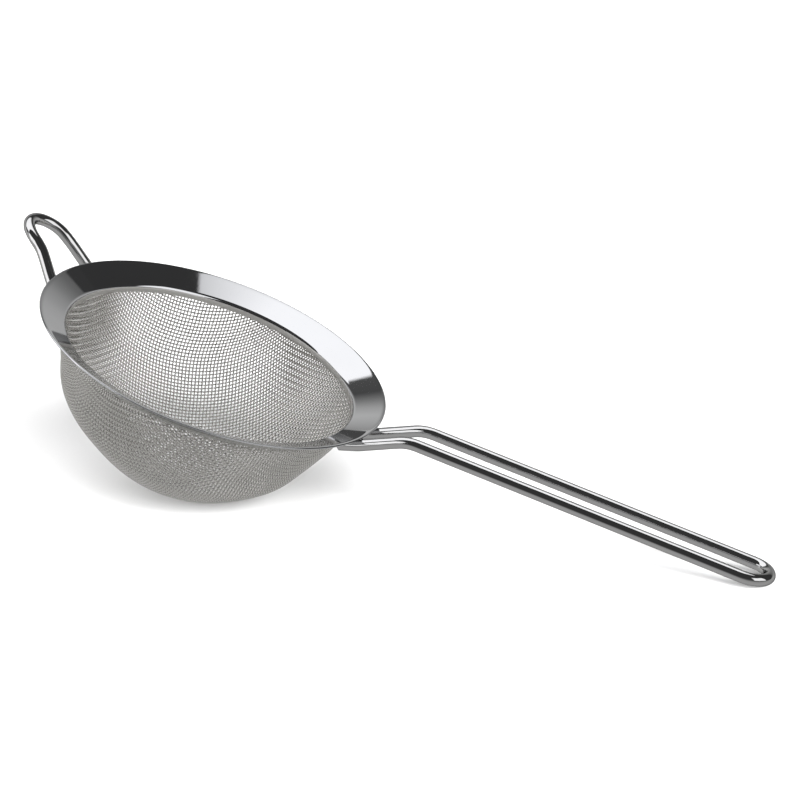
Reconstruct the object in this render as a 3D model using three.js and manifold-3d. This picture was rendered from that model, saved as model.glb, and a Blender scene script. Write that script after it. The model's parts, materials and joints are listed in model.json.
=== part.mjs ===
// Tea strainer: a pressed conical rim with a turned-down collar, a bowl of woven wire cloth, a long
// two-legged wire handle and, opposite it, a short wire rest hook, welded under the rim.
// It lies on a table on the bottom of its bowl and the tip of its handle. Millimetres, +Z up,
// +X along the handle, origin under the middle of the object's box.
import * as THREE from 'three';
import { mergeVertices } from 'three/addons/utils/BufferGeometryUtils.js';
import Module from 'manifold-3d';

// ---- driving dimensions, mm and degrees, in the rim's own frame: z = 0 at the rim's edge ----
const RIM_R = 45;              // outer radius of the rim, measured at the sheet's edge
const SHEET = 0.45;            // sheet thickness of the rim
const FLARE_DEG = 24.1;        // slope of the flare
const COLLAR_IN_R = 37.2;      // inner radius of the turned-down collar
const COLLAR_BOTTOM = -5.1;    // lower edge of the collar
const CORNER_R = 1.1;          // bend radius between flare and collar, mid-sheet
const CLOTH = 0.55;            // thickness of the wire cloth
const BAND = 0.4;              // thickness of the clamp band
const BAND_TOP = -3.6;         // upper edge of the clamp band
const BAND_BOTTOM = -4.5;      // lower edge of the clamp band
const GAP = 0.15;              // clearance that keeps neighbouring solids apart
const BOWL = [                 // outer surface of the bowl: radius, height
  [38.35, -3.95], [38.35, -5.4], [37.75, -7.4], [36.65, -10.2], [35.4, -13.0], [34.1, -16.0],
  [32.6, -19.0], [30.9, -22.0], [29.0, -24.7], [26.4, -27.2], [23.4, -29.8], [20.2, -32.2],
  [16.4, -34.5], [12.0, -36.3], [7.5, -37.5], [4.0, -38.0],
];
const BULGE = 1.4;             // swelling of the cloth at mid depth, on the side of the hook
const BULGE_Z = -19.5;         // height of the swelling
const BULGE_H = 6;             // its half height
const BULGE_DEG = 197;         // its direction round the bowl
const WIRE_R = 1.5;            // handle and hook wire radius
const WIRE_Y = 2.2;            // the wires' common centre line passes this far beside the axis
const HANDLE_W = 10.2;         // spacing of the handle's two legs, centre to centre
const HANDLE_START = 39.75;    // x of the cut ends under the flare
const HANDLE_LIFT = 44.4;      // x at which its legs leave the flare
const HANDLE_UNDER = 25.8;     // slope of its legs under the flare
const HANDLE_KNEE = [55.7, 4.65]; // x and z of the knee
const HANDLE_RISE = 32.6;      // slope of its legs from the flare to the knee
const HANDLE_RUN = 7.32;       // slope of the long straight run
const HANDLE_END = 142.5;      // x of the centre of the round end
const KNEE_R = 12;             // bend radius of the handle's knee
const HOOK_KNEE_R = 16;        // and of the hook's
const BEND_R = 5;              // bend radius where the legs leave the flare
const HOOK_W0 = 17.5;          // spacing of the hook's legs at the rim's edge
const HOOK_W1 = 12.1;          // spacing at its knee
const HOOK_START = 40.2;       // distance of its cut ends from the axis
const HOOK_LIFT = 44;          // distance at which its legs leave the flare
const HOOK_UNDER = 26;         // slope of its legs under the flare
const HOOK_KNEE = [52.2, 4.0]; // distance and height of its knee
const HOOK_RISE = 40.5;        // slope of its legs beyond the rim
const HOOK_RUN = 18;           // slope of its round end
const HOOK_REACH = 59.7;       // distance of the hook's tip from the axis
const HOOK_EASE = 8;           // rounds of smoothing of its plan
const WELD = [1.6, 1.9, 1.5];  // half sizes of a weld nugget
const WELD_AT = 1.15;          // its distance along the wire from the cut end
const WELD_UP = 1.1;           // its distance above the wire's centre line
const ROUND = 72;              // segments round the axis
const HANDLE_STEPS = 132;      // segments along the handle's wire
const HOOK_STEPS = 40;         // and along the hook's

const rad = (d) => (d * Math.PI) / 180;
const V3 = (x, y, z) => new THREE.Vector3(x, y, z);

// ---- helpers ----
// offset a mid line both ways by half the thickness and close the ends: a sheet's section
function sheetSection(mid, t) {
  const left = [], right = [];
  for (let i = 0; i < mid.length; i++) {
    const a = mid[Math.max(0, i - 1)], b = mid[Math.min(mid.length - 1, i + 1)];
    const d = b.clone().sub(a).normalize();
    const n = new THREE.Vector2(-d.y, d.x).multiplyScalar(t / 2);
    left.push(mid[i].clone().add(n));
    right.push(mid[i].clone().sub(n));
  }
  return left.concat(right.reverse());
}
// a closed section revolved about Z, faces out
function revolve(section, segments = ROUND) {
  const area = section.reduce((s, p, i) => {
    const q = section[(i + 1) % section.length];
    return s + p.x * q.y - q.x * p.y;
  }, 0);
  const loop = area > 0 ? section.slice() : section.slice().reverse();
  loop.push(loop[0].clone());
  return new THREE.LatheGeometry(loop, segments).rotateX(Math.PI / 2);
}
// corner of a polyline rounded with a given radius
function rounded(points, radii, steps = 5) {
  const out = [points[0].clone()];
  for (let i = 1; i < points.length - 1; i++) {
    const p = points[i];
    const u = points[i - 1].clone().sub(p).normalize(), v = points[i + 1].clone().sub(p).normalize();
    const half = Math.acos(THREE.MathUtils.clamp(u.dot(v), -1, 1)) / 2;
    const reach = radii[i - 1] / Math.tan(half);
    const a = p.clone().addScaledVector(u, reach), b = p.clone().addScaledVector(v, reach);
    const centre = p.clone().addScaledVector(u.clone().add(v).normalize(), radii[i - 1] / Math.sin(half));
    for (let k = 0; k <= steps; k++) {
      const m = a.clone().lerp(b, k / steps).sub(centre).setLength(radii[i - 1]);
      out.push(centre.clone().add(m));
    }
  }
  out.push(points[points.length - 1].clone());
  return out;
}
// a curve through dense points, by length
class Route extends THREE.Curve {
  constructor(points) {
    super();
    this.points = points;
    this.at = [0];
    for (let i = 1; i < points.length; i++) {
      this.at.push(this.at[i - 1] + points[i].distanceTo(points[i - 1]));
    }
  }
  getPoint(t, target = new THREE.Vector3()) {
    const s = t * this.at[this.at.length - 1];
    let i = 1;
    while (i < this.at.length - 1 && this.at[i] < s) i++;
    const f = (s - this.at[i - 1]) / (this.at[i] - this.at[i - 1]);
    return target.lerpVectors(this.points[i - 1], this.points[i], THREE.MathUtils.clamp(f, 0, 1));
  }
}
function wireAlong(points, steps, r = WIRE_R, sides = 10) {
  const section = new THREE.Shape();
  for (let i = 0; i < sides; i++) {
    const a = (2 * Math.PI * (i + 0.5)) / sides;
    section[i ? 'lineTo' : 'moveTo'](r * Math.cos(a), r * Math.sin(a));
  }
  section.closePath();
  return new THREE.ExtrudeGeometry(section, { steps, extrudePath: new Route(points), bevelEnabled: false });
}
// the same route, longer by the clearance at both ends
function lengthened(points) {
  const beyond = (a, b) => a.clone().add(a.clone().sub(b).setLength(GAP));
  return [beyond(points[0], points[1]), ...points, beyond(points.at(-1), points.at(-2))];
}
// plan points smoothed against their neighbours, the ends kept
function eased(points, rounds) {
  let now = points;
  for (let k = 0; k < rounds; k++) {
    now = now.map((p, i) => (i && i < now.length - 1
      ? p.clone().multiplyScalar(2).add(now[i - 1]).add(now[i + 1]).divideScalar(4) : p));
  }
  return now;
}
// legs and round end of a wire loop: plan points (distance, side) lifted onto the side profile
function loop(plan, profile) {
  const height = (r) => {
    let i = 1;
    while (i < profile.length - 1 && profile[i].x < r) i++;
    const a = profile[i - 1], b = profile[i];
    return a.y + ((b.y - a.y) * (r - a.x)) / (b.x - a.x);
  };
  return plan.map((p) => V3(p.x, p.y, height(p.x)));
}

// ---- wires ----
const slope = (d) => Math.tan(rad(d));
function sideProfile(inner, knee, rise, run, end, bend) {
  const b = new THREE.Vector2(knee[0], knee[1]);
  const c = new THREE.Vector2(end + 3, knee[1] + (end + 3 - knee[0]) * slope(run));
  const foot = inner.map(([x, under], i) => {
    const x1 = i ? inner[i - 1][0] : knee[0];
    return { x, drop: (x1 - x) * slope(i ? under : rise) };
  });
  let z = knee[1];
  const legs = foot.map(({ x, drop }) => new THREE.Vector2(x, (z -= drop))).reverse();
  return rounded([...legs, b, c], [...legs.slice(1).map(() => BEND_R), bend], 8);
}
function handlePath() {
  const h = HANDLE_W / 2, plan = [];
  for (let x = HANDLE_START; x < HANDLE_END; x += 1.25) plan.push(new THREE.Vector2(x, -h));
  for (let k = 0; k <= 16; k++) {
    const a = -Math.PI / 2 + (Math.PI * k) / 16;
    plan.push(new THREE.Vector2(HANDLE_END + h * Math.cos(a), h * Math.sin(a)));
  }
  for (let k = plan.length - 18; k >= 0; k--) plan.push(new THREE.Vector2(plan[k].x, h));
  const foot = [[HANDLE_LIFT], [HANDLE_START - 0.2, HANDLE_UNDER]];
  return loop(plan, sideProfile(foot, HANDLE_KNEE, HANDLE_RISE, HANDLE_RUN, HANDLE_END + h, KNEE_R));
}
function hookPath() {
  const plan = [], w1 = HOOK_W1 / 2, spread = (HOOK_W0 - HOOK_W1) / 2 / (HOOK_KNEE[0] - RIM_R);
  const reach = HOOK_REACH - HOOK_KNEE[0] + 0.8, centre = HOOK_REACH - reach;
  for (let x = HOOK_START; x < centre - 0.4; x += 0.8) {
    plan.push(new THREE.Vector2(x, -w1 - (HOOK_KNEE[0] - x) * spread));
  }
  for (let k = 0; k <= 20; k++) {
    const a = -Math.PI / 2 + (Math.PI * k) / 20;
    plan.push(new THREE.Vector2(centre + reach * Math.cos(a), (w1 + 0.25) * Math.sin(a)));
  }
  for (let k = plan.length - 22; k >= 0; k--) plan.push(new THREE.Vector2(plan[k].x, -plan[k].y));
  const foot = [[HOOK_LIFT], [HOOK_START - 0.2, HOOK_UNDER]];
  const profile = sideProfile(foot, HOOK_KNEE, HOOK_RISE, HOOK_RUN, HOOK_REACH, HOOK_KNEE_R);
  return loop(eased(plan, HOOK_EASE), profile);
}

// ---- rim, clamp band and bowl sections ----
const collarMid = COLLAR_IN_R + SHEET / 2;
const edge = new THREE.Vector2(RIM_R - 0.2, -0.25);
const corner = new THREE.Vector2(collarMid, edge.y - (edge.x - collarMid) * slope(FLARE_DEG));
const rimMid = rounded([edge, corner, new THREE.Vector2(collarMid, COLLAR_BOTTOM)], [CORNER_R], 4);
const rimSection = sheetSection(rimMid, SHEET);
const bandIn = COLLAR_IN_R + SHEET + CLOTH + 2 * GAP;
const bandSection = [[bandIn, BAND_BOTTOM], [bandIn + BAND, BAND_BOTTOM], [bandIn + BAND, BAND_TOP],
  [bandIn, BAND_TOP]].map(([x, y]) => new THREE.Vector2(x, y));

function bowlGeometry() {
  const out = BOWL.map(([x, y]) => new THREE.Vector2(x, y));
  const inside = out.map((p, i) => {
    const a = out[Math.max(0, i - 1)], b = out[Math.min(out.length - 1, i + 1)];
    const d = b.clone().sub(a).normalize();
    return p.clone().add(new THREE.Vector2(d.y, -d.x).multiplyScalar(CLOTH));
  });
  inside[0].y = out[0].y;
  const floor = out[out.length - 1].y;
  const section = [new THREE.Vector2(0, floor), ...out.slice().reverse(), ...inside,
    new THREE.Vector2(0, floor + CLOTH)];
  inside[inside.length - 1].set(out[out.length - 1].x, floor + CLOTH);
  const geometry = new THREE.LatheGeometry(section, ROUND).rotateX(Math.PI / 2);
  const p = geometry.attributes.position;
  for (let i = 0; i < p.count; i++) {
    const z = p.getZ(i), turn = Math.atan2(p.getY(i), p.getX(i)) - rad(BULGE_DEG);
    const lean = BULGE * Math.exp(-(((z - BULGE_Z) / BULGE_H) ** 2)) *
      (0.35 + 0.65 * (0.5 + 0.5 * Math.cos(turn)) ** 2);
    p.setX(i, p.getX(i) + lean * Math.cos(rad(BULGE_DEG)));
    p.setY(i, p.getY(i) + lean * Math.sin(rad(BULGE_DEG)));
  }
  return geometry;
}

// ---- weld nuggets: an ellipsoid round the cut end, cut clear of the wire and of the flare above ----
const wasm = await Module();
wasm.setup();
function solidOf(geometry) {
  const g = geometry.clone();
  g.deleteAttribute('normal');
  g.deleteAttribute('uv');
  const m = mergeVertices(g, 1e-4);
  const solid = new wasm.Manifold(new wasm.Mesh({
    numProp: 3,
    vertProperties: new Float32Array(m.attributes.position.array),
    triVerts: new Uint32Array(m.index.array),
  }));
  return solid;
}
function geometryOf(solid) {
  const m = solid.getMesh();
  const g = new THREE.BufferGeometry();
  g.setAttribute('position', new THREE.BufferAttribute(new Float32Array(m.vertProperties), 3));
  g.setIndex(new THREE.BufferAttribute(new Uint32Array(m.triVerts), 1));
  g.computeVertexNormals();
  return g;
}
const flareRoom = solidOf(revolve(sheetSection(rimMid, SHEET + 2 * GAP)));
function weldGeometry(path, steps, side, turn) {
  // the leg's centre line near its cut end: the path's first stretch, or its last for the other leg
  const leg = side < 0 ? path : path.slice().reverse();
  const at = new Route(leg).getPoint(WELD_AT / new Route(leg).at.at(-1));
  const along = leg[1].clone().sub(leg[0]).normalize();
  const blob = new THREE.SphereGeometry(1, 16, 10).scale(...WELD);
  blob.rotateY(-Math.asin(along.z)).rotateZ(Math.atan2(along.y, along.x));
  blob.translate(at.x - WELD_UP * along.z, at.y, at.z + WELD_UP * Math.hypot(along.x, along.y));
  const room = wireAlong(lengthened(path), steps, WIRE_R + GAP, 20);
  for (const g of [blob, room]) g.rotateZ(turn).translate(0, WIRE_Y, 0);
  const left = solidOf(blob).subtract(solidOf(room)).subtract(flareRoom).decompose();
  return geometryOf(left.reduce((a, b) => (b.volume() > a.volume() ? b : a)));
}

// ---- materials ----
const steel = (color, roughness) => new THREE.MeshStandardMaterial({ color, roughness, metalness: 1 });
const polished = steel(0xc9cacb, 0.12), wireSteel = steel(0xbfc0c1, 0.18);
const cloth = steel(0xa9a8a4, 0.4), weldSteel = steel(0x8f8f8d, 0.45), satin = steel(0xb4b4b1, 0.35);

// ---- scene graph ----
const strainer = new THREE.Group();
function add(parent, name, geometry, material) {
  const mesh = new THREE.Mesh(geometry, material);
  mesh.name = name;
  parent.add(mesh);
  return mesh;
}
add(strainer, 'rim', revolve(rimSection), polished);
add(strainer, 'clamp_band', revolve(bandSection), satin);
add(strainer, 'mesh_bowl', bowlGeometry(), cloth);
const wires = new THREE.Group();
wires.position.set(0, WIRE_Y, 0);
strainer.add(wires);
const handle = handlePath(), hook = hookPath();
add(wires, 'handle_wire', wireAlong(handle, HANDLE_STEPS), wireSteel);
add(wires, 'hook_wire', wireAlong(hook, HOOK_STEPS), wireSteel).rotation.z = Math.PI;
for (const [name, path, steps, side, turn] of [
  ['weld_handle_right', handle, HANDLE_STEPS, -1, 0], ['weld_handle_left', handle, HANDLE_STEPS, 1, 0],
  ['weld_hook_left', hook, HOOK_STEPS, -1, Math.PI], ['weld_hook_right', hook, HOOK_STEPS, 1, Math.PI],
]) add(strainer, name, weldGeometry(path, steps, side, turn), weldSteel);

// ---- resting tilt: the table touches the bowl and the underside of the handle's tip ----
const reach = HANDLE_END + HANDLE_W / 2;
const tip = new THREE.Vector2(reach, HANDLE_KNEE[1] + (reach - HANDLE_KNEE[0]) * slope(HANDLE_RUN));
let tilt = 0;
for (const [r, z] of BOWL) {
  const d = Math.hypot(tip.x - r, tip.y - z);
  tilt = Math.max(tilt, Math.atan2(tip.y - z, tip.x - r) - Math.asin(WIRE_R / d));
}
strainer.rotation.y = tilt;

const model = new THREE.Group();
model.add(strainer);
model.updateMatrixWorld(true);
const box = new THREE.Box3().setFromObject(model, true);
strainer.position.set(-(box.min.x + box.max.x) / 2, -(box.min.y + box.max.y) / 2, -box.min.z);

export default model;
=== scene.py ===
# Looks of the tea strainer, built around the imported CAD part. Lengths of the design are in mm in
# the rim's own frame (z = 0 at the rim's edge, +x towards the handle). mesh_object brings them into
# the row frame.
import json
import math

import bpy
import numpy as np
from mathutils import Matrix, Vector


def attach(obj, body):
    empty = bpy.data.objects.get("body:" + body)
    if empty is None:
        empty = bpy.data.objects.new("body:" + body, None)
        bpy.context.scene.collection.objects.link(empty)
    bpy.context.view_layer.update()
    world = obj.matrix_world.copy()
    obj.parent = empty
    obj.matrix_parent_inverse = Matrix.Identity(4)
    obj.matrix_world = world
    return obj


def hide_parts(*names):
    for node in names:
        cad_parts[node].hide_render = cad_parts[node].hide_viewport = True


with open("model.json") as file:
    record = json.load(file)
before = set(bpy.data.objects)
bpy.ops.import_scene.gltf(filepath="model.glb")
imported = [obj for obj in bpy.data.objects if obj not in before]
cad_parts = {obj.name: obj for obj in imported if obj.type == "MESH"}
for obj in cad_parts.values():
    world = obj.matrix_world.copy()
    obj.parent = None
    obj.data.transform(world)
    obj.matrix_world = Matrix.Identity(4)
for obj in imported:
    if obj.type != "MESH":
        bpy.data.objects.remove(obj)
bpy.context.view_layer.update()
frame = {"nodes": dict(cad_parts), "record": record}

# ---- design dimensions, the same as the CAD part's ----
RIM_R = 45.0
SHEET = 0.45
FLARE = math.radians(24.1)
COLLAR_IN_R = 37.2
COLLAR_BOTTOM = -5.1
CORNER_R = 1.1
EDGE_ROLL, EDGE_WIDTH = 0.11, 1.1    # how the polished edge of the flare rolls over
BAND = 0.4
BAND_IN_R = 38.5
BAND_TOP = -3.6
BAND_BOTTOM = -4.5
BAND_ROUND = 0.12                    # radius of the band's edges
CLOTH = 0.55
# outer surface of the bowl: radius and height, rounded from measurements of the photograph's outline
BOWL = [(0.0, -38.02), (4.0, -37.98), (7.5, -37.5), (12.0, -36.3), (16.4, -34.5), (20.2, -32.2),
        (23.4, -29.8), (26.4, -27.2), (29.0, -24.7), (30.9, -22.0), (32.6, -19.0), (34.1, -16.0),
        (35.4, -13.0), (36.65, -10.2), (37.75, -7.4), (38.35, -5.4), (38.35, -3.95)]
BOWL_DEPTH = 38.0
BULGE, BULGE_Z, BULGE_H, BULGE_DEG = 1.4, -19.5, 6.0, 197.0
WIRE_R = 1.5
WIRE_Y = 2.2
HANDLE_W, HANDLE_START, HANDLE_LIFT, HANDLE_END = 10.2, 39.75, 44.4, 142.5
HANDLE_KNEE, HANDLE_RISE, HANDLE_RUN, HANDLE_UNDER = (55.7, 4.65), 32.6, 7.32, 25.8
KNEE_R, HOOK_KNEE_R, BEND_R = 12.0, 16.0, 5.0
HOOK_W0, HOOK_W1, HOOK_START, HOOK_LIFT, HOOK_REACH = 17.5, 12.1, 40.2, 44.0, 59.4
HOOK_KNEE, HOOK_RISE, HOOK_RUN, HOOK_UNDER = (52.2, 4.0), 40.5, 18.0, 26.0

# ---- woven cloth ----
PITCH = 0.907          # between wires, 28 to the inch
CLOTH_WIRE_R = 0.185   # set by how bright the cloth looks, not measured
WEAVE = 0.187          # how far a wire rides over or under at a crossing
NET_DEG = 36.8         # direction of the warp through the middle of the bowl
CLOTH_TOP = -4.05      # where the cloth is cut, between collar and band
CURVE_STEP = 0.25      # spacing of the points of the bowl's curve
CURVE_EASE = 23        # width of its smoothing, in points
CROSSING = 0.25        # a wire bends this part of a pitch before and after a crossing
NET_SPARE = 1.55       # how far the net reaches, over the length of the bowl's curve

MM = 0.001
mount = frame["record"]["mounts"][0]
axis_up = -Vector(mount["axis"]).normalized()
RIM = (Matrix.Translation(Vector(mount["pos_m"]) + axis_up * BOWL_DEPTH * MM)
       @ Matrix.Rotation(math.atan2(axis_up.x, axis_up.z), 4, "Y") @ Matrix.Scale(MM, 4))
RIM_NP = np.array(RIM)


# ---------------------------------------------------------------- meshes
def to_row(points):
    return np.asarray(points, float) @ RIM_NP[:3, :3].T + RIM_NP[:3, 3]


def mesh_object(name, points, quads, uv=None):
    """A mesh object from points in the rim's frame and faces."""
    mesh = bpy.data.meshes.new(name)
    mesh.from_pydata(to_row(points).tolist(), [], [tuple(map(int, q)) for q in quads])
    mesh.update()
    if uv is not None:
        layer = mesh.uv_layers.new(name="UVMap")
        index = np.empty(len(mesh.loops), np.int32)
        mesh.loops.foreach_get("vertex_index", index)
        layer.data.foreach_set("uv", np.asarray(uv, np.float32)[index].ravel())
    mesh.polygons.foreach_set("use_smooth", [True] * len(mesh.polygons))
    obj = bpy.data.objects.new(name, mesh)
    bpy.context.scene.collection.objects.link(obj)
    return obj


def revolve(name, section, segments=360):
    """A closed section (radius, height), counter-clockwise, turned about the rim's axis."""
    section = np.asarray(section, float)
    n = len(section)
    a = np.linspace(0, 2 * math.pi, segments, endpoint=False)
    points = np.stack([np.outer(np.cos(a), section[:, 0]), np.outer(np.sin(a), section[:, 0]),
                       np.broadcast_to(section[:, 1], (segments, n))], -1).reshape(-1, 3)
    i, j = np.meshgrid(np.arange(segments), np.arange(n), indexing="ij")
    i1, j1 = (i + 1) % segments, (j + 1) % n
    quads = np.stack([i * n + j, i1 * n + j, i1 * n + j1, i * n + j1], -1).reshape(-1, 4)
    return mesh_object(name, points, quads)


def arc(centre, radius, a0, a1, steps):
    a = np.radians(np.linspace(a0, a1, steps + 1))
    return np.c_[centre[0] + radius * np.cos(a), centre[1] + radius * np.sin(a)]


def rounded(points, radii, steps=12):
    """Corners of a polyline rounded with the given radii."""
    points = [np.asarray(p, float) for p in points]
    out = [points[0]]
    for p0, p, p1, radius in zip(points, points[1:], points[2:], radii):
        u, v = (p0 - p) / np.linalg.norm(p0 - p), (p1 - p) / np.linalg.norm(p1 - p)
        half = math.acos(np.clip(u @ v, -1, 1)) / 2
        a, b = p + u * radius / math.tan(half), p + v * radius / math.tan(half)
        centre = p + (u + v) / np.linalg.norm(u + v) * radius / math.sin(half)
        for k in range(steps + 1):
            m = a + (b - a) * k / steps - centre
            out.append(centre + m / np.linalg.norm(m) * radius)
    out.append(points[-1])
    return np.array(out)


def sheet_section(mid, thickness, cap=6):
    """The section of a bent sheet from its mid line, with round edges."""
    d = np.gradient(mid, axis=0)
    d /= np.linalg.norm(d, axis=1)[:, None]
    n = np.c_[-d[:, 1], d[:, 0]] * thickness / 2
    a0, a1 = [math.degrees(math.atan2(v[1], v[0])) for v in (n[-1], n[0])]
    end = arc(mid[-1], thickness / 2, a0, a0 - 180, cap)[1:-1]
    start = arc(mid[0], thickness / 2, a1 + 180, a1, cap)[1:-1]
    return np.concatenate([mid + n, end, (mid - n)[::-1], start])


def dense(points, step):
    """The polyline again, with points at an even spacing near step."""
    points = np.asarray(points, float)
    at = np.r_[0, np.cumsum(np.linalg.norm(np.diff(points, axis=0), axis=1))]
    s = np.linspace(0, at[-1], max(2, int(round(at[-1] / step)) + 1))
    return np.stack([np.interp(s, at, points[:, k]) for k in range(points.shape[1])], -1)


def frames_along(path):
    """Two unit vectors square to the path at each point, carried along without twist."""
    t = np.gradient(path, axis=0)
    t /= np.linalg.norm(t, axis=1)[:, None]
    u = np.cross(t[0], [0, 0, 1.0])
    us = []
    for k in t:
        u = u - k * (u @ k)
        u = u / np.linalg.norm(u)
        us.append(u)
    us = np.array(us)
    return us, np.cross(t, us), t


def rod(name, path, radius, sides=40, chamfer=0.22):
    """A round rod along a path, its two cut ends slightly broken at the edge."""
    us, vs, t = frames_along(path)
    centre = [path[0], path[0] + t[0] * chamfer, *path[1:-1], path[-1] - t[-1] * chamfer, path[-1]]
    size = [radius - chamfer, *[radius] * len(path), radius - chamfer]
    us, vs = [np.array([f[0], *f, f[-1]]) for f in (us, vs)]
    a = 2 * math.pi * np.arange(sides + 1) / sides
    rings = [c + r * (np.outer(np.cos(a), u) + np.outer(np.sin(a), v))
             for c, r, u, v in zip(centre, size, us, vs)]
    at = np.r_[0, np.cumsum(np.linalg.norm(np.diff(np.array(centre), axis=0), axis=1))]
    points, uv = [], []
    for ring, s in zip(rings, at):
        points += list(ring[:-1])
        uv += [(s / 10, k / sides) for k in range(sides)]
    faces = []
    for i in range(len(rings) - 1):
        for k in range(sides):
            k1 = (k + 1) % sides
            faces.append((i * sides + k, i * sides + k1, (i + 1) * sides + k1, (i + 1) * sides + k))
    last = (len(rings) - 1) * sides
    faces += [tuple(range(sides))[::-1], tuple(range(last, last + sides))]
    obj = mesh_object(name, points, faces, uv)
    for face in list(obj.data.polygons)[-2:]:
        face.use_smooth = False
    return obj


# ---------------------------------------------------------------- bent wires
def slope(degrees):
    return math.tan(math.radians(degrees))


def side_profile(lift, start, under, knee, rise, run, end, bend):
    """Height over distance: cut end, stretch under the flare, rise, knee and long run."""
    z_lift = knee[1] - (knee[0] - lift) * slope(rise)
    points = [(start, z_lift - (lift - start) * slope(under)), (lift, z_lift), knee,
              (end + 3, knee[1] + (end + 3 - knee[0]) * slope(run))]
    return rounded(points, [BEND_R, bend], 24)


def lifted(plan, profile):
    return np.c_[plan, np.interp(plan[:, 0], profile[:, 0], profile[:, 1])]


def mirrored(plan):
    return np.concatenate([plan, (plan * [1, -1])[::-1][1:]])


def handle_path():
    h = HANDLE_W / 2
    x = np.arange(HANDLE_START, HANDLE_END, 0.5)
    leg = np.c_[x, np.full(len(x), -h)]
    end = arc((HANDLE_END, 0), h, -90, 0, 24)
    profile = side_profile(HANDLE_LIFT, HANDLE_START - 0.2, HANDLE_UNDER, HANDLE_KNEE,
                           HANDLE_RISE, HANDLE_RUN, HANDLE_END + h, KNEE_R)
    return lifted(mirrored(np.concatenate([leg, end])), profile)


def hook_path():
    w1 = HOOK_W1 / 2
    spread = (HOOK_W0 - HOOK_W1) / 2 / (HOOK_KNEE[0] - RIM_R)
    reach = HOOK_REACH - HOOK_KNEE[0] + 0.8
    centre = HOOK_REACH - reach
    x = np.arange(HOOK_START, centre - 0.4, 0.4)
    leg = np.c_[x, -w1 - (HOOK_KNEE[0] - x) * spread]
    a = np.radians(np.linspace(-90, 0, 28))
    end = np.c_[centre + reach * np.cos(a), (w1 + 0.25) * np.sin(a)]
    plan = mirrored(np.concatenate([leg, end]))
    profile = side_profile(HOOK_LIFT, HOOK_START - 0.2, HOOK_UNDER, HOOK_KNEE,
                           HOOK_RISE, HOOK_RUN, HOOK_REACH, HOOK_KNEE_R)
    return lifted(plan, profile)


def evened(path, step, keep=1.2):
    """Even spacing, with the small corners of the polyline eased."""
    path = dense(path, step)
    n = max(1, int(keep / step))
    kernel = np.hanning(2 * n + 3)[1:-1]
    kernel /= kernel.sum()
    m = len(kernel) // 2
    head = 2 * path[0] - path[1:m + 1][::-1]
    tail = 2 * path[-1] - path[-m - 1:-1][::-1]
    padded = np.concatenate([head, path, tail])
    return np.stack([np.convolve(padded[:, k], kernel, "valid") for k in range(3)], -1)


# ---------------------------------------------------------------- cloth
def bowl_curve():
    """Radius and height of the cloth's middle over the distance from the bottom, in small steps."""
    outer = np.array(BOWL)
    ghost = np.concatenate([[outer[1] * [-1, 1]], outer, [[38.35, -1.0]]])
    out = []
    for k in range(1, len(ghost) - 2):
        p0, p1, p2, p3 = ghost[k - 1:k + 3]
        for f in np.linspace(0, 1, 24, endpoint=False):
            out.append(0.5 * ((2 * p1) + (p2 - p0) * f + (2 * p0 - 5 * p1 + 4 * p2 - p3) * f * f
                              + (3 * p1 - p0 - 3 * p2 + p3) * f ** 3))
    out = dense(np.array(out + [outer[-1]]), CURVE_STEP)
    kernel = np.hanning(CURVE_EASE)[1:-1]
    kernel /= kernel.sum()
    m = len(kernel) // 2
    before = (out * [-1, 1])[1:m + 1][::-1]
    after = out[-1] + np.outer(np.arange(1, m + 1), [0, CURVE_STEP])
    padded = np.concatenate([before, out, after])
    out = np.stack([np.convolve(padded[:, k], kernel, "valid") for k in range(2)], -1)
    out[0, 0] = 0
    d = np.gradient(out, axis=0)
    d /= np.linalg.norm(d, axis=1)[:, None]
    mid = out + np.c_[-d[:, 1], d[:, 0]] * CLOTH / 2
    mid[0, 0] = 0
    mid = np.concatenate([mid, [mid[-1] + [0, 60.0]]])
    at = np.r_[0, np.cumsum(np.linalg.norm(np.diff(mid, axis=0), axis=1))]
    return at, mid


CURVE_AT, CURVE = bowl_curve()
LEAN = np.array([math.cos(math.radians(BULGE_DEG)), math.sin(math.radians(BULGE_DEG))])


def on_bowl(ab):
    """Point of the bowl at a distance and direction from its bottom, given as a flat pair."""
    s = np.hypot(ab[:, 0], ab[:, 1])
    r, z = np.interp(s, CURVE_AT, CURVE[:, 0]), np.interp(s, CURVE_AT, CURVE[:, 1])
    d = ab / np.maximum(s, 1e-9)[:, None]
    facing = 0.5 + 0.5 * d @ LEAN
    lean = BULGE * np.exp(-(((z - BULGE_Z) / BULGE_H) ** 2)) * (0.35 + 0.65 * facing ** 2)
    return np.c_[d * r[:, None] + LEAN * lean[:, None], z]


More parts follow.
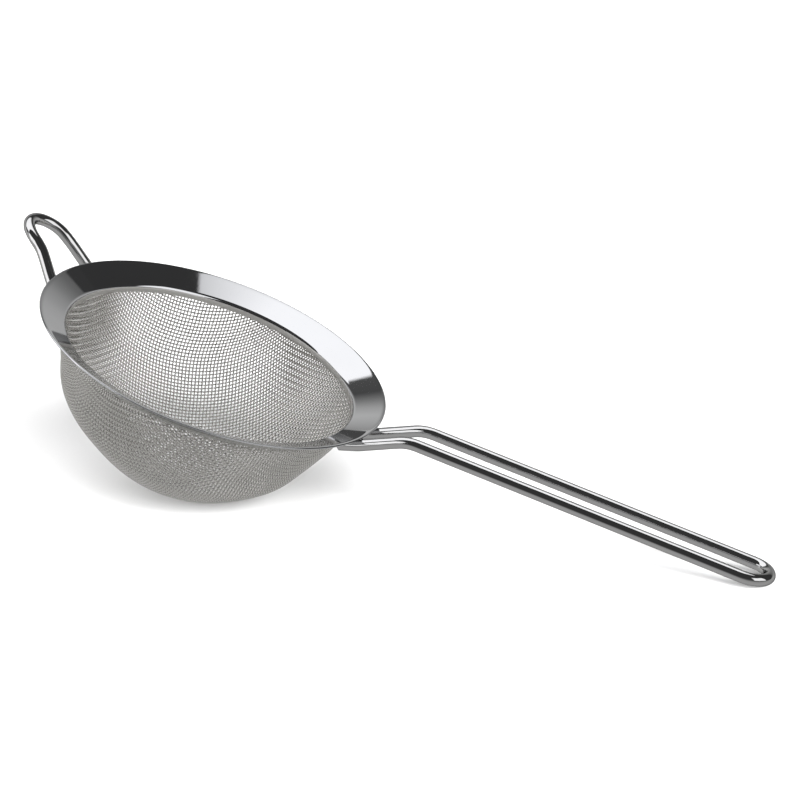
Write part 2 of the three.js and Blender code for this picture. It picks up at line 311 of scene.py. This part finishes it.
def net(reach):
    """Nodes of the cloth: an even net laid on the bowl from two wires that cross at its bottom."""
    turn = math.radians(NET_DEG)
    e1, e2 = [np.array([math.cos(turn + q), math.sin(turn + q)]) for q in (0, math.pi / 2)]
    flat = np.full((2 * reach + 1, 2 * reach + 1, 2), np.nan)

    def march(e):
        """Distances along a straight wire whose points are one pitch apart."""
        steps = [0.0]
        for _ in range(reach):
            s = steps[-1] + PITCH
            here = on_bowl(np.array([e * steps[-1]]))[0]
            for _ in range(6):
                f = np.linalg.norm(on_bowl(np.array([e * s]))[0] - here) - PITCH
                g = np.linalg.norm(on_bowl(np.array([e * (s + 1e-4)]))[0] - here) - PITCH
                s -= f * 1e-4 / (g - f)
            steps.append(s)
        return np.array(steps)

    for sign in (1, -1):
        flat[reach + sign * np.arange(reach + 1), reach] = np.outer(march(e1 * sign), e1 * sign)
        flat[reach, reach + sign * np.arange(reach + 1)] = np.outer(march(e2 * sign), e2 * sign)
    for si in (1, -1):
        for sj in (1, -1):
            for k in range(2, reach + 1):
                i = np.arange(1, k)
                j = k - i
                a = flat[reach + si * (i - 1), reach + sj * j]
                b = flat[reach + si * i, reach + sj * (j - 1)]
                c = flat[reach + si * (i - 1), reach + sj * (j - 1)]
                pa, pb = on_bowl(a), on_bowl(b)
                x = a + b - c
                for _ in range(8):
                    p = on_bowl(x)
                    h = 1e-4
                    f = np.c_[np.linalg.norm(p - pa, axis=1), np.linalg.norm(p - pb, axis=1)] - PITCH
                    cols = []
                    for step in ((h, 0), (0, h)):
                        q = on_bowl(x + step)
                        cols.append((np.c_[np.linalg.norm(q - pa, axis=1),
                                           np.linalg.norm(q - pb, axis=1)] - PITCH - f) / h)
                    m = np.stack(cols, -1)
                    det = m[:, 0, 0] * m[:, 1, 1] - m[:, 0, 1] * m[:, 1, 0]
                    det = np.where(np.abs(det) < 0.05, np.copysign(0.05, det), det)
                    dx = np.c_[m[:, 1, 1] * f[:, 0] - m[:, 0, 1] * f[:, 1],
                               m[:, 0, 0] * f[:, 1] - m[:, 1, 0] * f[:, 0]] / det[:, None]
                    size = np.linalg.norm(dx, axis=1)[:, None]
                    x = x - dx * np.minimum(1, 0.6 / np.maximum(size, 1e-9))
                flat[reach + si * i, reach + sj * j] = x
    return flat


def normals_of(points):
    """Unit normals of the net at its nodes, out of the bowl."""
    filled = np.where(np.isnan(points), 0, points)
    du, dv = np.gradient(filled, axis=0), np.gradient(filled, axis=1)
    n = np.cross(du, dv)
    n /= np.maximum(np.linalg.norm(n, axis=2), 1e-9)[..., None]
    radial = filled - [0, 0, -12.0]
    return n * np.sign((n * radial).sum(2))[..., None]


def tubes(wires, sides=5):
    """Closed tubes along many wires at once: points and faces."""
    points, faces, base = [], [], 0
    a = 2 * math.pi * np.arange(sides) / sides
    ring = np.arange(sides)
    for path, normal in wires:
        t = np.gradient(path, axis=0)
        t /= np.linalg.norm(t, axis=1)[:, None]
        v = normal - t * (normal * t).sum(1)[:, None]
        v /= np.linalg.norm(v, axis=1)[:, None]
        u = np.cross(t, v)
        n = len(path)
        rings = path[:, None] + CLOTH_WIRE_R * (np.cos(a)[None, :, None] * v[:, None]
                                                + np.sin(a)[None, :, None] * u[:, None])
        points.append(rings.reshape(-1, 3))
        k = base + np.arange(n - 1)[:, None] * sides
        nxt = (ring + 1) % sides
        quads = np.stack([k + ring, k + nxt, k + sides + nxt, k + sides + ring], -1)
        faces += quads.reshape(-1, 4).tolist()
        faces.append((base + ring).tolist())
        faces.append((base + (n - 1) * sides + ring[::-1]).tolist())
        base += n * sides
    return np.concatenate(points), faces


def cloth():
    """Wires of the two directions, each as paths with the normals of the cloth along them."""
    reach = int(CURVE_AT[np.searchsorted(CURVE[:-1, 1], CLOTH_TOP) - 1] / PITCH * NET_SPARE)
    flat = net(reach)
    size = flat.shape[0]
    known = ~np.isnan(flat[..., 0])
    points = np.full((size, size, 3), np.nan)
    points[known] = on_bowl(flat[known])
    normals = normals_of(points)
    inside = known & (np.where(known, points[..., 2], 99) < CLOTH_TOP)
    families = []
    for axis, sign in ((0, 1), (1, -1)):
        p, n, ok = [np.swapaxes(x, 0, axis) if axis else x for x in (points, normals, inside)]
        wires = []
        for j in range(size):
            runs = np.flatnonzero(ok[:, j])
            if len(runs) < 2:
                continue
            middle = runs[np.argmin(np.abs(runs - reach))]
            lo = hi = middle
            while lo - 1 >= 0 and ok[lo - 1, j]:
                lo -= 1
            while hi + 1 < size and ok[hi + 1, j]:
                hi += 1
            path, normal = [], []
            for i in range(lo, hi + 1):
                side = sign * (1 if (i + j) % 2 else -1)
                for step in (-1, 1):
                    other = i + step
                    if not (0 <= other < size) or np.isnan(p[other, j, 0]):
                        continue
                    q = p[i, j] + (p[other, j] - p[i, j]) * CROSSING
                    m = n[i, j]
                    if q[2] > CLOTH_TOP:
                        continue
                    path.append(q + m * side * WEAVE)
                    normal.append(m)
            if len(path) > 2:
                wires.append((np.array(path), np.array(normal)))
        families.append(wires)
    return families


# ---------------------------------------------------------------- materials
def shader(name, **sockets):
    material = bpy.data.materials.new(name)
    material.use_nodes = True
    nodes, links = material.node_tree.nodes, material.node_tree.links
    principled = nodes["Principled BSDF"]
    for key, value in sockets.items():
        principled.inputs[key.replace("_", " ")].default_value = value
    return material, nodes, links, principled


def node(nodes, kind, inputs=(), **settings):
    n = nodes.new(kind)
    for key, value in settings.items():
        setattr(n, key, value)
    for key, value in dict(inputs).items():
        n.inputs[key].default_value = value
    return n


def noise(nodes, links, coords, scale, detail=3.0, stretch=(1, 1, 1)):
    """Noise over coordinates, stretched along an axis where the surface was drawn or brushed."""
    mapping = node(nodes, "ShaderNodeMapping", {"Scale": stretch})
    links.new(coords, mapping.inputs["Vector"])
    n = node(nodes, "ShaderNodeTexNoise", {"Scale": scale, "Detail": detail})
    links.new(mapping.outputs[0], n.inputs["Vector"])
    return n.outputs["Fac"]


def ramp(nodes, links, fac, low, high):
    """A value between two ends, by a factor."""
    r = node(nodes, "ShaderNodeMapRange",
             {"From Min": 0.3, "From Max": 0.7, "To Min": low, "To Max": high})
    links.new(fac, r.inputs["Value"])
    return r.outputs["Result"]


def tint(nodes, links, fac, a, b):
    mix = nodes.new("ShaderNodeMix")
    mix.data_type = "RGBA"
    mix.inputs["A"].default_value, mix.inputs["B"].default_value = (*a, 1), (*b, 1)
    links.new(fac, mix.inputs["Factor"])
    return mix.outputs["Result"]


def bump(nodes, links, height, distance, strength, before=None):
    b = node(nodes, "ShaderNodeBump", {"Strength": strength, "Distance": distance})
    links.new(height, b.inputs["Height"])
    if before is not None:
        links.new(before, b.inputs["Normal"])
    return b.outputs["Normal"]


def steel(name, base, darker, roughness, wave=(0, 0), grain=(0, 0), stretch=(1, 1, 1), uv=False,
          rim_tint=0.9, metallic=1.0):
    """Steel: two tones, a roughness range, a long faint wave and a fine grain in the surface."""
    material, nodes, links, out = shader(name, Metallic=metallic,
                                         Specular_Tint=(rim_tint, rim_tint, rim_tint, 1))
    coords = nodes.new("ShaderNodeTexCoord").outputs["UV" if uv else "Object"]
    place = nodes.new("ShaderNodeTexCoord").outputs["Object"]
    broad = noise(nodes, links, place, 55.0, 4.0)
    fine = noise(nodes, links, coords, 900.0 if not uv else 30.0, 5.0, stretch)
    links.new(tint(nodes, links, broad, base, darker), out.inputs["Base Color"])
    links.new(ramp(nodes, links, fine, *roughness), out.inputs["Roughness"])
    normal = None
    if wave[0]:
        normal = bump(nodes, links, noise(nodes, links, place, wave[0], 1.0), wave[1], 1.0)
    if grain[0]:
        normal = bump(nodes, links, fine, grain[1], grain[0], normal)
    if normal is not None:
        links.new(normal, out.inputs["Normal"])
    return material


polished_sheet = steel("polished_sheet", (0.66, 0.665, 0.68), (0.61, 0.615, 0.63), (0.03, 0.06),
                       wave=(24.0, 0.00009), grain=(0.06, 0.00002))
collar_satin = steel("collar_satin", (0.80, 0.79, 0.77), (0.70, 0.69, 0.67), (0.5, 0.62),
                     grain=(0.25, 0.00004), stretch=(1, 1, 6), metallic=0.93)
satin_band = steel("satin_band", (0.56, 0.555, 0.54), (0.48, 0.475, 0.46), (0.22, 0.36),
                   grain=(0.3, 0.00004), stretch=(1, 1, 6))
cloth_steel = steel("wire_cloth", (0.86, 0.85, 0.828), (0.74, 0.73, 0.708), (0.06, 0.14),
                    grain=(0.2, 0.00003))
polished_wire = steel("polished_wire", (0.66, 0.66, 0.665), (0.60, 0.60, 0.605), (0.03, 0.07),
                      wave=(60.0, 0.00004), grain=(0.12, 0.00002), stretch=(0.12, 6, 1), uv=True,
                      rim_tint=0.35)
weld_steel = steel("weld", (0.42, 0.40, 0.37), (0.24, 0.22, 0.21), (0.35, 0.55),
                   wave=(700.0, 0.00015), grain=(0.5, 0.00006))


def finish_piece(obj, material, cad_node):
    obj.data.materials.append(material)
    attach(obj, "root")
    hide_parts(cad_node)


# ---------------------------------------------------------------- the object
collar_mid = COLLAR_IN_R + SHEET / 2
edge = np.array([RIM_R - SHEET / 2 - 0.02, -0.25])
corner = np.array([collar_mid, edge[1] - (edge[0] - collar_mid) * math.tan(FLARE)])
mid_line = rounded([edge, corner, (collar_mid, COLLAR_BOTTOM + SHEET / 2)], [CORNER_R], 14)
flare_run = np.linspace(0, 1, 60)[:-1, None] * (mid_line[1] - edge) + edge
flare_run[:, 1] -= EDGE_ROLL * np.clip(1 - (edge[0] - flare_run[:, 0]) / EDGE_WIDTH, 0, 1) ** 3
rim_section = sheet_section(np.concatenate([flare_run, mid_line[1:]]), SHEET)[::-1]
rim = revolve("rim_sheet", rim_section, 480)
finish_piece(rim, polished_sheet, "rim")
rim.data.materials.append(collar_satin)
inverse = np.linalg.inv(RIM_NP)
for face in rim.data.polygons:
    c = inverse @ np.array([*face.center, 1.0])
    if c[2] < corner[1] - 0.25 and math.hypot(c[0], c[1]) < COLLAR_IN_R + SHEET + 0.1:
        face.material_index = 1

band_in, band_out = BAND_IN_R + BAND_ROUND, BAND_IN_R + BAND - BAND_ROUND
band_low, band_high = BAND_BOTTOM + BAND_ROUND, BAND_TOP - BAND_ROUND
band_section = np.concatenate([
    arc(corner_at, BAND_ROUND, start, start + 90, 4)
    for corner_at, start in (((band_in, band_low), 180), ((band_out, band_low), 270),
                             ((band_out, band_high), 0), ((band_in, band_high), 90))])
finish_piece(revolve("band_strip", band_section, 360), satin_band, "clamp_band")

warp, weft = cloth()
for family, wires in (("warp", warp), ("weft", weft)):
    half = len(wires) // 2
    for part, some in (("near", wires[:half]), ("far", wires[half:])):
        piece = mesh_object(f"cloth_{family}_{part}", *tubes(some))
        finish_piece(piece, cloth_steel, "mesh_bowl")

handle = evened(handle_path() + [0, WIRE_Y, 0], 0.5)
finish_piece(rod("handle_rod", handle, WIRE_R), polished_wire, "handle_wire")
hook = evened(hook_path() * [-1, -1, 1] + [0, WIRE_Y, 0], 0.35, 2.6)
finish_piece(rod("hook_rod", hook, WIRE_R), polished_wire, "hook_wire")


def bead(name, cad_node):
    """A weld bead with a rippled, rounded surface on the CAD nugget's shape."""
    obj = bpy.data.objects.new(name, frame["nodes"][cad_node].data.copy())
    bpy.context.scene.collection.objects.link(obj)
    obj.data.materials.clear()
    for kind, settings in (("REMESH", {"mode": "VOXEL", "voxel_size": 0.00012}),
                           ("SMOOTH", {"factor": 0.5, "iterations": 4})):
        m = obj.modifiers.new(kind.lower(), kind)
        for key, value in settings.items():
            setattr(m, key, value)
    depsgraph = bpy.context.evaluated_depsgraph_get()
    mesh = bpy.data.meshes.new_from_object(obj.evaluated_get(depsgraph))
    obj.modifiers.clear()
    obj.data = mesh
    mesh.polygons.foreach_set("use_smooth", [True] * len(mesh.polygons))
    finish_piece(obj, weld_steel, cad_node)


for where in ("handle_right", "handle_left", "hook_left", "hook_right"):
    bead(f"bead_{where}", f"weld_{where}")

# ---------------------------------------------------------------- camera
CAM_AZ, CAM_EL, CAM_ROLL = map(math.radians, (114.148, -16.906, 0.91))
CAM_AT = Vector((0.26898, -0.58873, 0.22832))
LENS, SENSOR = 125.68, 36
ahead = Vector((math.cos(CAM_EL) * math.cos(CAM_AZ), math.cos(CAM_EL) * math.sin(CAM_AZ),
                math.sin(CAM_EL)))
side = ahead.cross(Vector((0, 0, 1))).normalized()
over = side.cross(ahead)
right = side * math.cos(CAM_ROLL) + over * math.sin(CAM_ROLL)
up = over * math.cos(CAM_ROLL) - side * math.sin(CAM_ROLL)
camera = bpy.data.objects.new("camera", bpy.data.cameras.new("camera"))
camera.data.lens = LENS
camera.data.sensor_width = SENSOR
camera.data.clip_end = 30
camera.matrix_world = Matrix.Translation(CAM_AT) @ Matrix((right, up, -ahead)).transposed().to_4x4()
bpy.context.scene.collection.objects.link(camera)
bpy.context.scene.camera = camera
bpy.context.scene.view_settings.view_transform = "Standard"

# ---------------------------------------------------------------- studio
# What polished steel shows: two ramps over the sky, one for the middle and one for the side, from
# the floor behind the strainer over the top and down in front of it, with a softbox overhead. Each
# stop is an angle in degrees from the far horizon and a level, and a level of 1 marks the softbox.
# The levels were adjusted to the reflections in the photograph's flare, and those of SKY_SIDE from
# 13 to 42 degrees come mostly from its grey values.
SKY_TURN = math.radians(37.0)    # direction of the softbox's right-hand side
DARK = 0.045
SKY_BOX = [(50.3, 1.0), (89, 1.0), (90, DARK), (168, DARK), (182, 0.12), (194, 0.26), (208, 0.40),
           (254, 0.46), (269, 0.45)]
SKY_NEAR = [(-90, 0.45), (-55, 0.48), (-10, 0.55), (12, 0.62), (28, 0.61), (33, 0.49), (38, 0.25),
            (42, 0.085), (49.8, 0.10)] + SKY_BOX
SKY_SIDE = [(-90, 0.45), (-55, 0.48), (-10, 0.52), (13, 0.52), (18, 0.49), (22, 0.43),
            (27, 0.366), (32, 0.27), (38, 0.185), (41.7, 0.16), (42.1, 0.05), (49.8, 0.05)] + SKY_BOX
SIDE_FROM, SIDE_TO = 0.2, 0.45   # sideways part of a direction where the side's ramp takes over
BOX_LEVEL = 1.45
BOX_DIM, DIM_FROM, DIM_TO = 0.62, 0.25, 0.55   # how the softbox dims towards its right
# patches: direction and half width in degrees, height and half height of the unit vector, brightness
PATCHES = [(-15, 24, 0.36, 0.27, 1.3), (116, 2.2, 0.20, 0.08, 0.08)]
BOX_RIGHT, BOX_LEFT = 0.553, -1.4

world = bpy.data.worlds.new("studio")
bpy.context.scene.world = world
world.use_nodes = True
nodes, links = world.node_tree.nodes, world.node_tree.links
background = nodes["Background"]


def math_node(operation, a, b=None):
    n = node(nodes, "ShaderNodeMath", operation=operation)
    for socket, value in zip(n.inputs, (a, b)):
        if value is None:
            continue
        if isinstance(value, (int, float)):
            socket.default_value = value
        else:
            links.new(value, socket)
    return n.outputs[0]


direction = node(nodes, "ShaderNodeTexCoord").outputs["Generated"]
turned = node(nodes, "ShaderNodeVectorRotate", rotation_type="Z_AXIS")
turned.inputs["Angle"].default_value = -SKY_TURN
links.new(direction, turned.inputs["Vector"])
split = node(nodes, "ShaderNodeSeparateXYZ")
links.new(turned.outputs[0], split.inputs[0])
across, away, high = split.outputs
angle = math_node("ARCTAN2", high, away)
around = math_node("FRACT", math_node("DIVIDE", math_node("ADD", angle, math.pi / 2), 2 * math.pi))


def sky_ramp(stops):
    r = node(nodes, "ShaderNodeValToRGB")
    elements = r.color_ramp.elements
    while len(elements) > 1:
        elements.remove(elements[-1])
    for k, (degrees, value) in enumerate(stops):
        at = (degrees + 90) / 360
        e = elements[0] if k == 0 else elements.new(at)
        e.position = at
        warm = 1.0 if value < 0.1 else (0.985 if value < 1 else 1.01)
        e.color = (value, value, value * warm, 1)
    links.new(around, r.inputs[0])
    return r.outputs[0]


ratio = math_node("DIVIDE", across, math_node("MAXIMUM", high, 0.001))


def edge_mask(lo, hi):
    m = node(nodes, "ShaderNodeMapRange", {"From Min": lo, "From Max": hi})
    links.new(ratio, m.inputs["Value"])
    return m.outputs["Result"]


box_mask = math_node("MULTIPLY", edge_mask(BOX_RIGHT + 0.008, BOX_RIGHT - 0.008),
                     edge_mask(BOX_LEFT - 0.02, BOX_LEFT + 0.02))
to_side = node(nodes, "ShaderNodeMapRange", {"From Min": SIDE_FROM, "From Max": SIDE_TO})
links.new(across, to_side.inputs["Value"])


def mixed(factor, low, high):
    mix = nodes.new("ShaderNodeMix")
    mix.data_type = "RGBA"
    for socket, value in (("Factor", factor), ("A", low), ("B", high)):
        if isinstance(value, tuple):
            mix.inputs[socket].default_value = value
        else:
            links.new(value, mix.inputs[socket])
    return mix.outputs["Result"]


def band_mask(value, centre, half, soft):
    """1 within half of the centre, falling to 0 over soft."""
    off = math_node("ABSOLUTE", math_node("SUBTRACT", value, centre))
    m = node(nodes, "ShaderNodeMapRange", {"From Min": half + soft, "From Max": half},
             interpolation_type="SMOOTHSTEP")
    links.new(off, m.inputs["Value"])
    return m.outputs["Result"]


dim = node(nodes, "ShaderNodeMapRange",
           {"From Min": DIM_FROM, "From Max": DIM_TO, "To Min": 1.0, "To Max": BOX_DIM})
links.new(ratio, dim.inputs["Value"])
skies = []
for stops in (SKY_NEAR, SKY_SIDE):
    lit = nodes.new("ShaderNodeVectorMath")
    lit.operation = "SCALE"
    links.new(sky_ramp([(d, BOX_LEVEL if v == 1 else v) for d, v in stops]), lit.inputs[0])
    links.new(dim.outputs["Result"], lit.inputs["Scale"])
    unlit = sky_ramp([(d, DARK if v == 1 else v) for d, v in stops])
    skies.append((lit.outputs[0], unlit))
lit = mixed(to_side.outputs["Result"], skies[0][0], skies[1][0])
unlit = mixed(to_side.outputs["Result"], skies[0][1], skies[1][1])
color = mixed(box_mask, unlit, lit)
plain = node(nodes, "ShaderNodeSeparateXYZ")
links.new(direction, plain.inputs[0])
bearing = math_node("ARCTAN2", plain.outputs[1], plain.outputs[0])
for degrees, half, level, tall, bright in PATCHES:
    soft = 0.05 if bright > 1 else 0.01
    wide = band_mask(bearing, math.radians(degrees), math.radians(half), soft)
    patch_mask = math_node("MULTIPLY", wide, band_mask(plain.outputs[2], level, tall, soft))
    color = mixed(patch_mask, color, (bright, bright, bright, 1))
links.new(color, background.inputs["Color"])
background.inputs["Strength"].default_value = 1.0

KEY_POWER, KEY_SPREAD, KEY_AIM = 8.6, math.radians(46.0), Vector((-1.2, 1.25, -1.05))
SIDE_WIDTH, SIDE_HEIGHT, SIDE_POWER = 0.5, 0.4, 0.85
SIDE_AT, SIDE_AIM = Vector((-0.49, -0.51, 0.215)), Vector((-0.1, 0, 0.1))
FLOOR_ALBEDO, FLOOR_Z = 0.86, -0.0001
STUDIO_R, STUDIO_H, STUDIO_Z = 6.0, 12.0, 5.99   # the backdrop's radius, height and middle

lamp = bpy.data.lights.new("key", "SUN")
lamp.energy, lamp.angle = KEY_POWER, KEY_SPREAD
key = bpy.data.objects.new("key", lamp)
key.rotation_euler = KEY_AIM.to_track_quat("-Z", "Y").to_euler()
key.visible_glossy = False
bpy.context.scene.collection.objects.link(key)

side_lamp = bpy.data.lights.new("side", "AREA")
side_lamp.shape, side_lamp.energy = "RECTANGLE", SIDE_POWER
side_lamp.size, side_lamp.size_y = SIDE_WIDTH, SIDE_HEIGHT
side_light = bpy.data.objects.new("side", side_lamp)
side_light.location = SIDE_AT
side_light.rotation_euler = (SIDE_AIM - SIDE_AT).to_track_quat("-Z", "Y").to_euler()
side_light.visible_camera = False
bpy.context.scene.collection.objects.link(side_light)


def paper(name, albedo):
    """Pale studio paper with a faint tooth."""
    material, nodes, links, out = shader(name, Roughness=0.9)
    out.inputs["Specular IOR Level"].default_value = 0.0
    place = nodes.new("ShaderNodeTexCoord").outputs["Object"]
    links.new(tint(nodes, links, noise(nodes, links, place, 40.0, 6.0),
                   (albedo,) * 3, (albedo * 0.99,) * 3), out.inputs["Base Color"])
    return material


bpy.ops.mesh.primitive_circle_add(vertices=128, radius=STUDIO_R, fill_type="NGON",
                                  location=(0, 0, FLOOR_Z))
floor = bpy.context.object
floor.name = "floor"
floor.data.materials.append(paper("pale_floor", FLOOR_ALBEDO))
floor.visible_glossy = False

bpy.ops.mesh.primitive_cylinder_add(vertices=128, radius=STUDIO_R, depth=STUDIO_H,
                                    end_fill_type="NGON", location=(0, 0, STUDIO_Z))
backdrop = bpy.context.object
backdrop.name = "backdrop"
white, *_, glow = shader("backdrop_paper", Roughness=1.0)
glow.inputs["Base Color"].default_value = (0, 0, 0, 1)
glow.inputs["Emission Color"].default_value = (1, 1, 1, 1)
glow.inputs["Emission Strength"].default_value = 1.0
backdrop.data.materials.append(white)
backdrop.visible_glossy = backdrop.visible_diffuse = backdrop.visible_shadow = False
